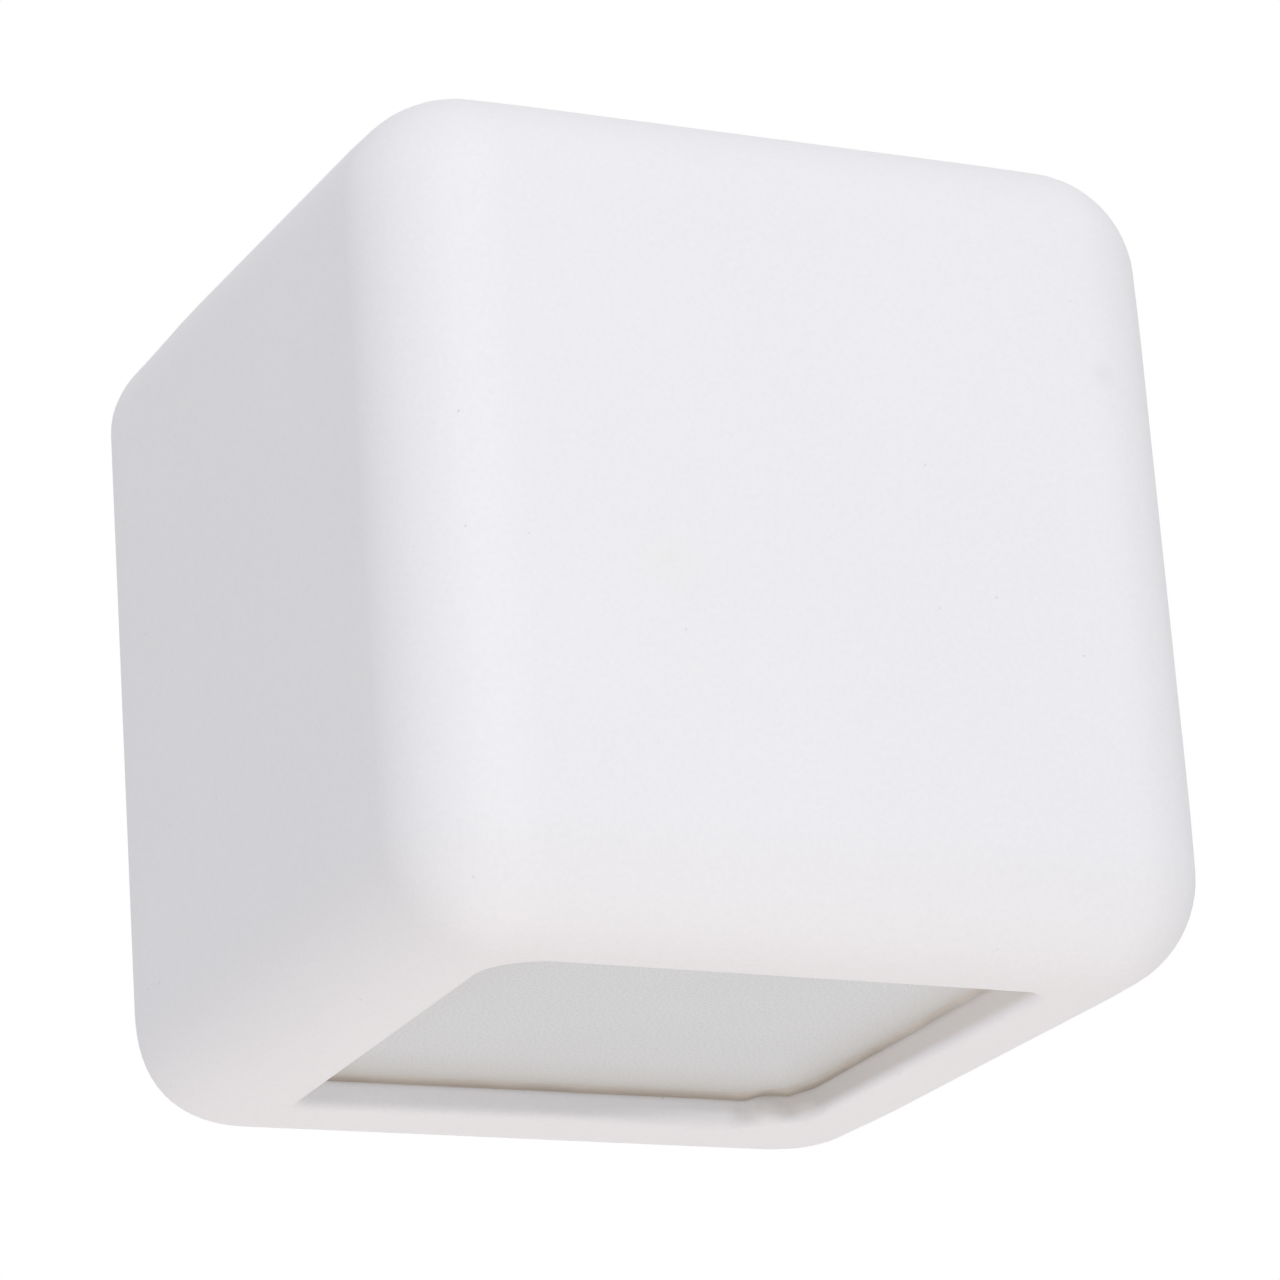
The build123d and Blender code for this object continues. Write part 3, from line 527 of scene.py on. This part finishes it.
def silicone_bead(name, side):
    """A pressed bead round the opening on one side, the bottom at -1 and the top at 1."""
    bead = bmesh.new()
    centre = sum(inner_corners, Vector((0.0, 0.0))) / len(inner_corners)
    loops = []
    for grow, rise in BEAD_SECTION:
        height = side * (BODY_HIGH.z - WALL - rise * MM)
        loops.append(grown_loop(bead, inner_corners, CORNER_RADII, [grow * MM] * 4, height, CORNER_STEPS))
    bridge_stack(bead, loops + loops[:1])
    runs = [e for e in bead.edges if e.calc_length() > LONG_RUN]
    bmesh.ops.subdivide_edges(bead, edges=runs, cuts=LONG_RUN_CUTS, use_grid_fill=True)
    for vert in bead.verts:
        outward = (vert.co.xy - centre).normalized() * BEAD_WANDER * noise.noise(vert.co / BEAD_WANDER_SIZE)
        vert.co.xy += outward + pushed(vert.co).xy
    bmesh.ops.recalc_face_normals(bead, faces=bead.faces)
    return to_piece(name, bead, "shade")


lower_bead = silicone_bead("lower_silicone", -1)
upper_bead = silicone_bead("upper_silicone", 1)
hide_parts("lower_glass_silicone")
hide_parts("upper_glass_silicone")

# %% [markdown]
# ## A build that the finishes share
# Most surfaces here show two things: slow clouds of tone, from handling, firing or plating, and a fine
# grain that shows in tone, sheen and relief alike. So that build is one function, and each finish gives
# it two tones and real sizes. The grain of a moulded, fired or etched surface is often under a tenth of a
# millimetre. It is drawn a few times coarser, about half a millimetre, so that it shows in the render.

# %% A build that the finishes share
NOISE_DETAIL = 3.0
NOISE_MEAN = 0.5
TONE_SPREAD = 0.4
GRAIN_STRENGTH = 0.5


def mottled(name, tones, cloud, rough, grain, relief, patchy=1.0, stretch=(1.0, 1.0, 1.0), **shader):
    """A finish of two tones, in clouds and in a grain that shows in sheen and relief too; sizes in mm."""
    material, tree, surface, place = new_finish(name, **shader)
    drawn = add(tree, "Mapping", {"Vector": place, "Scale": stretch}).outputs[0]
    clouds = add(tree, "TexNoise", {"Vector": place, "Scale": per_mm(cloud), "Detail": NOISE_DETAIL})
    grains = add(tree, "TexNoise", {"Vector": drawn, "Scale": per_mm(grain), "Detail": NOISE_DETAIL})
    fine = grains.outputs["Fac"]
    both = add(tree, "Math", {0: clouds.outputs["Fac"], 1: patchy, 2: fine}, operation="MULTIPLY_ADD")
    mean = NOISE_MEAN * patchy + NOISE_MEAN
    blend = add(tree, "MapRange", {0: both.outputs[0], 1: mean - TONE_SPREAD, 2: mean + TONE_SPREAD})
    dull, pale = (linear(shade) for shade in tones)
    tone = add(tree, "Mix", {0: blend.outputs[0], 6: dull, 7: pale}, data_type="RGBA")
    sheen = add(tree, "MapRange", {0: fine, 3: rough[0], 4: rough[1]})
    raised = add(tree, "Bump", {"Strength": GRAIN_STRENGTH, "Distance": relief * MM, "Height": fine})
    tree.links.new(tone.outputs[2], surface.inputs["Base Color"])
    tree.links.new(sheen.outputs[0], surface.inputs["Roughness"])
    tree.links.new(raised.outputs[0], surface.inputs["Normal"])
    return material, tree, surface, place, tone.outputs[2]


print("shared build ready")

# %% [markdown]
# ## Finish: bisque porcelain
# The body is slip-cast porcelain, fired and left unglazed. It is white and quite matte, with a soft sheen
# at shallow angles. Up close it has a fine sandy grain, slight clouds of tone, and iron specks from the
# clay. The right wall of each opening is painted a brownish grey that grows deeper in the cut and towards
# the right: painted shade, where that wall gets less light. A few marks, such as a round shadow and a faint
# yellow cloud on the front, are set where they are seen, by their distance from a point. On the run of slip
# in the lower opening, a paler patch near the rim is a painted highlight and a darker one at its top is
# painted shade. The marks could be painted on a texture, but a list keeps them sharp at any size.

# %% Finish: bisque porcelain
SPECK_SPACING = 5.0
SPECK_RADII = (0.1, 0.28)
SPECK_PICK = 0.6
SPECK_SHARE = 0.42
# Painted shade on the right wall of the openings: where it starts and is full along X, and how deep below
# the face, in mm
PAINTED_SHADE_RISE = (32.0, 42.0)
PAINTED_SHADE_DEPTH = (1.0, 2.0)
PAINTED_SHADE_SHARE = 0.6
# The painted shade keeps to the right wall: axis, middle and reach in mm
PAINTED_SHADE_WITHIN = ((0, 40.0, 9.0), (1, -60.0, 46.0))
# What it is, its middle and reach in mm, its colour and how much of it shows
MARKS = (
    ("round shadow on the front", (54.0, -125.0, 28.7), 3.0, "#DFDDE0", 0.42),
    ("yellow cloud on the front", (-26.9, -125.0, -10.4), 5.0, "#EBEAE2", 0.3),
    # The last two are painted light: a painted highlight low on the run of slip, and painted shade at its
    # top
    ("painted highlight on the run of slip", (37.6, -17.2, -69.0), 4.0, "#EFEEEF", 0.7),
    ("painted shade at the top of the slip", (38.4, -18.6, -65.0), 3.4, "#BDB6AF", 0.55),
)

porcelain, tree, surface, place, tone = mottled(
    "bisque_porcelain", tones=("#E9E8EA", "#EFEEF0"), cloud=45.0, rough=(0.56, 0.68),
    grain=0.8, relief=0.02, patchy=0.4, IOR=1.5)

# Specks: one in each cell of a Voronoi pattern, but only where the cell's own number is high
cells = add(tree, "TexVoronoi", {"Vector": place, "Scale": per_mm(SPECK_SPACING)})
core, rim = (size / SPECK_SPACING for size in SPECK_RADII)
near = add(tree, "MapRange", {0: cells.outputs["Distance"], 1: core, 2: rim, 3: 1.0, 4: 0.0})
pick = add(tree, "SeparateColor", {0: cells.outputs["Color"]})
some = add(tree, "MapRange", {0: pick.outputs[0], 1: SPECK_PICK, 2: 1.0, 3: 0.0, 4: SPECK_SHARE})
speck = add(tree, "Math", {0: near.outputs[0], 1: some.outputs[0]}, operation="MULTIPLY")
colour = add(tree, "Mix", {0: speck.outputs[0], 6: tone, 7: linear("#B3A9A0")}, data_type="RGBA")

# Painted shade on the right wall: it starts below the rim and grows towards the right
spot = add(tree, "SeparateXYZ", {0: place})
height = add(tree, "Math", {0: spot.outputs[2]}, operation="ABSOLUTE")
start, full = (BODY_HIGH.z - depth * MM for depth in PAINTED_SHADE_DEPTH)
deep = add(tree, "MapRange", {0: height.outputs[0], 1: start, 2: full})
right_wall_shade = add(
    tree, "MapRange",
    {0: spot.outputs[0], 1: PAINTED_SHADE_RISE[0] * MM, 2: PAINTED_SHADE_RISE[1] * MM, 3: 0.0, 4: PAINTED_SHADE_SHARE})
right_wall_shade = add(tree, "Math", {0: right_wall_shade.outputs[0], 1: deep.outputs[0]}, operation="MULTIPLY")
for axis, centre, reach in PAINTED_SHADE_WITHIN:
    within = add(tree, "Math", {0: spot.outputs[axis], 1: centre * MM, 2: reach * MM}, operation="COMPARE")
    right_wall_shade = add(tree, "Math", {0: right_wall_shade.outputs[0], 1: within.outputs[0]}, operation="MULTIPLY")
colour = add(
    tree, "Mix", {0: right_wall_shade.outputs[0], 6: colour.outputs[2], 7: linear("#D3CDC6")}, data_type="RGBA")

for _, point, reach, shade, share in MARKS:
    away = add(tree, "VectorMath", {0: place, 1: Vector(point) * MM}, operation="DISTANCE")
    fade = add(tree, "MapRange", {0: away.outputs["Value"], 1: 0.0, 2: reach * MM, 3: share, 4: 0.0})
    colour = add(
        tree, "Mix", {0: fade.outputs[0], 6: colour.outputs[2], 7: linear(shade)}, data_type="RGBA")
tree.links.new(colour.outputs[2], surface.inputs["Base Color"])
ceramic.data.materials.append(porcelain)
print("finish:", porcelain.name, "on", ceramic.name, "with", len(MARKS), "marks")

# %% [markdown]
# ## Finish: etched opal glass
# The panes are flashed opal glass, etched on the outer side so that they spread the light. Unlit, opal
# glass is a pale grey, because part of the light goes through it, and the etching takes away all sharp
# reflections. A see-through shader could show that, but an unlit pane looks solid, and a plain shader is
# quicker and cleaner. A brownish painted shade darkens the outer side near the walls of the opening and
# fades away from each edge, broadest at the back.

# %% Finish: etched opal glass
# Axis, place of the edge and how fast the painted shade fades from it, in mm; the sign says which side is
# the pane's
PAINTED_SHADE_EDGES = ((0, -49.7, 4.5), (0, 43.7, -5.5), (1, -103.6, 4.0), (1, -16.2, -9.0))
PAINTED_EDGE_SHARE = 0.8
# How near to a surface still counts as on it
SKIN = 0.05 * MM
PANE_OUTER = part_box("upper_glass")[1][2]


def dress(material, *names):
    """Gives CAD nodes their finish."""
    for name in names:
        nodes[name].material_slots[0].material = material
    print("finish:", material.name, "on", ", ".join(names))


opal, tree, surface, place, tone = mottled(
    "etched_opal_glass", tones=("#C3C5C7", "#EBEDEF"), cloud=30.0, rough=(0.42, 0.56),
    grain=0.5, relief=0.01, patchy=0.1, IOR=1.5)
spot = add(tree, "SeparateXYZ", {0: place})
# Painted shade: the pane is darker near each wall of the opening, where shade falls
nearest = None
for axis, edge, fade in PAINTED_SHADE_EDGES:
    away = add(tree, "Math", {0: spot.outputs[axis], 1: edge * MM}, operation="SUBTRACT").outputs[0]
    faded = add(tree, "Math", {0: away, 1: -1 / (fade * MM)}, operation="MULTIPLY").outputs[0]
    if nearest is None:
        nearest = faded
    else:
        nearest = add(tree, "Math", {0: nearest, 1: faded}, operation="MAXIMUM").outputs[0]
edge_shade = add(tree, "Math", {0: nearest}, operation="EXPONENT", use_clamp=True)
height = add(tree, "Math", {0: spot.outputs[2]}, operation="ABSOLUTE")
outer = add(tree, "Math", {0: height.outputs[0], 1: PANE_OUTER - SKIN}, operation="GREATER_THAN")
edge_shade = add(tree, "Math", {0: edge_shade.outputs[0], 1: outer.outputs[0]}, operation="MULTIPLY")
edge_shade = add(tree, "Math", {0: edge_shade.outputs[0], 1: PAINTED_EDGE_SHARE}, operation="MULTIPLY")
colour = add(tree, "Mix", {0: edge_shade.outputs[0], 6: tone, 7: linear("#C0BDB6")}, data_type="RGBA")
tree.links.new(colour.outputs[2], surface.inputs["Base Color"])
dress(opal, "lower_glass", "upper_glass")

# %% [markdown]
# ## Finish: silicone
# Neutral-cure silicone leaves the nozzle translucent white and smooth, then yellows and picks up dust.
# Against the pane it is a dull beige. At its outer edge, in the narrow joint, it is still pale in front
# and goes brown towards the wall: partly aged, dusty silicone and partly painted shade of the narrow
# joint. Its index is low, about 1.41, and its skin is satin. One colour would be quicker, but the joint
# would then look like a drawn line.

# %% Finish: silicone
BEAD_HEIGHT = 1.0 * MM
BROWN_FROM, BROWN_TO = -95.0 * MM, -35.0 * MM

silicone, tree, surface, place, tone = mottled(
    "aged_silicone", tones=("#C6BFB7", "#D0CAC3"), cloud=8.0, rough=(0.38, 0.5),
    grain=1.5, relief=0.03, IOR=1.41)
spot = add(tree, "SeparateXYZ", {0: place})
height = add(tree, "Math", {0: spot.outputs[2]}, operation="ABSOLUTE")
inner = BODY_HIGH.z - WALL
# Partly painted shade: the joint side of the bead is darker, and browner towards the back
edge = add(tree, "MapRange", {0: height.outputs[0], 1: inner - BEAD_HEIGHT, 2: inner})
back = add(tree, "MapRange", {0: spot.outputs[1], 1: BROWN_FROM, 2: BROWN_TO})
aged_and_shaded = add(tree, "Mix", {0: back.outputs[0], 6: linear("#EBE6DF"), 7: linear("#C4B8AA")}, data_type="RGBA")
colour = add(tree, "Mix", {0: edge.outputs[0], 6: tone, 7: aged_and_shaded.outputs[2]}, data_type="RGBA")
tree.links.new(colour.outputs[2], surface.inputs["Base Color"])
lower_bead.data.materials.append(silicone)
upper_bead.data.materials.append(silicone)
print("finish:", silicone.name, "on", lower_bead.name, "and", upper_bead.name)

# %% [markdown]
# ## Finishes: zinc-plated steel
# The bracket, bridge and nut bar are stamped from zinc-coated strip. Rolling leaves fine lines along the
# strip, drawn here about three times coarser than they are so that they can be seen, and the coating sets
# in faint spangles. Screws, nuts and rivets are headed from wire and barrel-plated, so they have no lines
# but a brighter, slightly uneven skin. An anisotropic shader could stand for the lines, but here they
# show up close.

# %% Finishes: zinc-plated steel
SPANGLE_SIZE = 3.0
SPANGLE_SHARE = 0.18

zinc, tree, surface, place, tone = mottled(
    "zinc_plated_sheet", tones=("#B9BDC1", "#CDD0D3"), cloud=7.0, rough=(0.26, 0.46),
    grain=0.6, relief=0.012, stretch=(1.0, 1.0, 0.04), Metallic=1.0)
spangle = add(tree, "TexVoronoi", {"Vector": place, "Scale": per_mm(SPANGLE_SIZE)})
flake = add(tree, "SeparateColor", {0: spangle.outputs["Color"]})
share = add(tree, "MapRange", {0: flake.outputs[0], 3: 0.0, 4: SPANGLE_SHARE})
colour = add(tree, "Mix", {0: share.outputs[0], 6: tone, 7: linear("#E2E4E6")}, data_type="RGBA")
tree.links.new(colour.outputs[2], surface.inputs["Base Color"])
dress(zinc, "wall_plate", "lampholder_bridge", "nut_bar")

plated, *_ = mottled(
    "plated_screw_steel", tones=("#A9ADB2", "#C8CBCE"), cloud=2.5, rough=(0.24, 0.4),
    grain=0.5, relief=0.01, Metallic=1.0)
dress(
    plated, "retaining_screw", "bridge_rivets", "lampholder_screws", "lampholder_nuts", "terminal_screws",
    "terminal_block_screw", "earth_washer", "earth_screw")

# %% [markdown]
# ## Finishes: brass and nickel
# Contacts, terminal barrels and the earth tag are stamped or turned from brass, which dulls in clouds
# where it has been handled. The lamp's pins are nickel wire, with the lines of the drawing die along it.
# Both could be one yellow or grey metal, but bare metal without clouds and lines looks like plastic.

# %% Finishes: brass and nickel
brass, *_ = mottled(
    "sheet_brass", tones=("#B28E48", "#CDAA60"), cloud=3.0, rough=(0.2, 0.42),
    grain=0.4, relief=0.008, Metallic=1.0)
dress(brass, "lampholder_contacts", "terminal_barrels", "earth_tag")

nickel, *_ = mottled(
    "nickel_wire", tones=("#BDB8AE", "#CFCAC1"), cloud=2.0, rough=(0.16, 0.3),
    grain=0.3, relief=0.006, stretch=(1.0, 0.05, 1.0), Metallic=1.0)
dress(nickel, "bulb_pins")

# %% [markdown]
# ## Finishes: rubber
# The arm pads are die-cut from closed-cell EPDM foam, so their faces are full of small open cells. The
# grommet is moulded in solid EPDM, with a finer, smoother skin. The cells could be modelled, but at less
# than a millimetre they are best left to a bump from a Voronoi pattern.

# %% Finishes: rubber
FOAM_CELL = 0.7
FOAM_PORE = 0.15
FOAM_STRENGTH = 0.6

foam, tree, surface, place, _ = mottled(
    "epdm_foam", tones=("#232324", "#313132"), cloud=4.0, rough=(0.7, 0.85),
    grain=0.5, relief=0.05, IOR=1.5)
cells = add(tree, "TexVoronoi", {"Vector": place, "Scale": per_mm(FOAM_CELL)})
pores = add(
    tree, "Bump",
    {"Strength": FOAM_STRENGTH, "Distance": FOAM_PORE * MM, "Height": cells.outputs["Distance"]})
tree.links.new(pores.outputs[0], surface.inputs["Normal"])
dress(foam, "arm_pads")

moulded, *_ = mottled(
    "moulded_rubber", tones=("#2C2C2D", "#383839"), cloud=5.0, rough=(0.5, 0.66),
    grain=0.4, relief=0.02, IOR=1.52)
dress(moulded, "cable_grommet")

# %% [markdown]
# ## Finish: steatite
# The lampholder is pressed from steatite powder and fired at a high heat. It is a warm white with a dry,
# chalky grain, because it is left unglazed where it gets hot. It could share the body's porcelain, but
# beside it a real holder looks yellower and coarser.

# %% Finish: steatite
steatite, *_ = mottled(
    "steatite", tones=("#DDD6C8", "#EAE5DA"), cloud=6.0, rough=(0.48, 0.64),
    grain=0.5, relief=0.03, IOR=1.57)
dress(steatite, "lampholder")

# %% [markdown]
# ## Finishes: moulded plastics
# Natural polyamide is used for the terminal block and the washer: a milky, slightly warm white. The
# lamp's base is white polyester with spark-eroded grain from its mould, and its cover is opal
# polycarbonate, smoother and whiter. All are plain dielectrics with an index from 1.53 to 1.59, so only
# tone, sheen and grain tell them apart.

# %% Finishes: moulded plastics
polyamide, *_ = mottled(
    "natural_polyamide", tones=("#D7D3C9", "#E3E0D8"), cloud=5.0, rough=(0.36, 0.5),
    grain=0.6, relief=0.015, IOR=1.53)
dress(polyamide, "terminal_block")

nylon, *_ = mottled(
    "turned_nylon", tones=("#E8E4DA", "#F0EDE5"), cloud=3.0, rough=(0.38, 0.5),
    grain=0.3, relief=0.01, IOR=1.53)
dress(nylon, "retaining_washer")

polyester, *_ = mottled(
    "white_polyester", tones=("#E0DED8", "#E8E6E1"), cloud=6.0, rough=(0.34, 0.52),
    grain=0.4, relief=0.02, IOR=1.58)
dress(polyester, "bulb_base")

cover, *_ = mottled(
    "opal_polycarbonate", tones=("#E9E9E6", "#EFEFED"), cloud=12.0, rough=(0.3, 0.36),
    grain=0.5, relief=0.003, IOR=1.585)
dress(cover, "bulb_cover")

# %% [markdown]
# ## Finish: light board
# The lamp's board has a white solder mask, and yellow phosphor chips stand on both of its faces. Board
# and chips are one node, so they can't have a material each. The chips are told apart by how far they
# stand from the middle of the board.

# %% Finish: light board
BOARD_HALF = 0.5 * MM

board, tree, surface, place, tone = mottled(
    "light_board", tones=("#E9E7DF", "#F2F1EC"), cloud=4.0, rough=(0.4, 0.56),
    grain=0.4, relief=0.01, IOR=1.5)
spot = add(tree, "SeparateXYZ", {0: place})
apart = add(tree, "Math", {0: spot.outputs[0]}, operation="ABSOLUTE")
chip = add(tree, "Math", {0: apart.outputs[0], 1: BOARD_HALF + SKIN}, operation="GREATER_THAN")
colour = add(tree, "Mix", {0: chip.outputs[0], 6: tone, 7: linear("#E3C43C")}, data_type="RGBA")
tree.links.new(colour.outputs[2], surface.inputs["Base Color"])
dress(board, "bulb_led_board")

# %% [markdown]
# ## Finishes: wire sleeves
# The inner wires wear silicone sleeves that stand the heat of the holder: brown for live, blue for
# neutral, green with a yellow stripe for earth. Extruding leaves a satin skin with slow waves along it.
# The stripe follows the wire, so it is told by the way the surface faces and not by its place.

# %% Finishes: wire sleeves
STRIPE_FACING = 0.25
SLEEVE = {"cloud": 4.0, "rough": (0.4, 0.54), "grain": 0.8, "relief": 0.02, "IOR": 1.41}

live, *_ = mottled("brown_sleeve", tones=("#5E3A21", "#75492B"), **SLEEVE)
dress(live, "live_lead")

neutral, *_ = mottled("blue_sleeve", tones=("#28589A", "#366EB4"), **SLEEVE)
dress(neutral, "neutral_lead")

earth, tree, surface, _, tone = mottled("green_yellow_sleeve", tones=("#37733A", "#468A46"), **SLEEVE)
facing = add(tree, "SeparateXYZ", {0: add(tree, "TexCoord").outputs["Normal"]})
stripe = add(tree, "Math", {0: facing.outputs[0], 1: STRIPE_FACING}, operation="GREATER_THAN")
colour = add(tree, "Mix", {0: stripe.outputs[0], 6: tone, 7: linear("#D8C22E")}, data_type="RGBA")
tree.links.new(colour.outputs[2], surface.inputs["Base Color"])
dress(earth, "earth_lead")
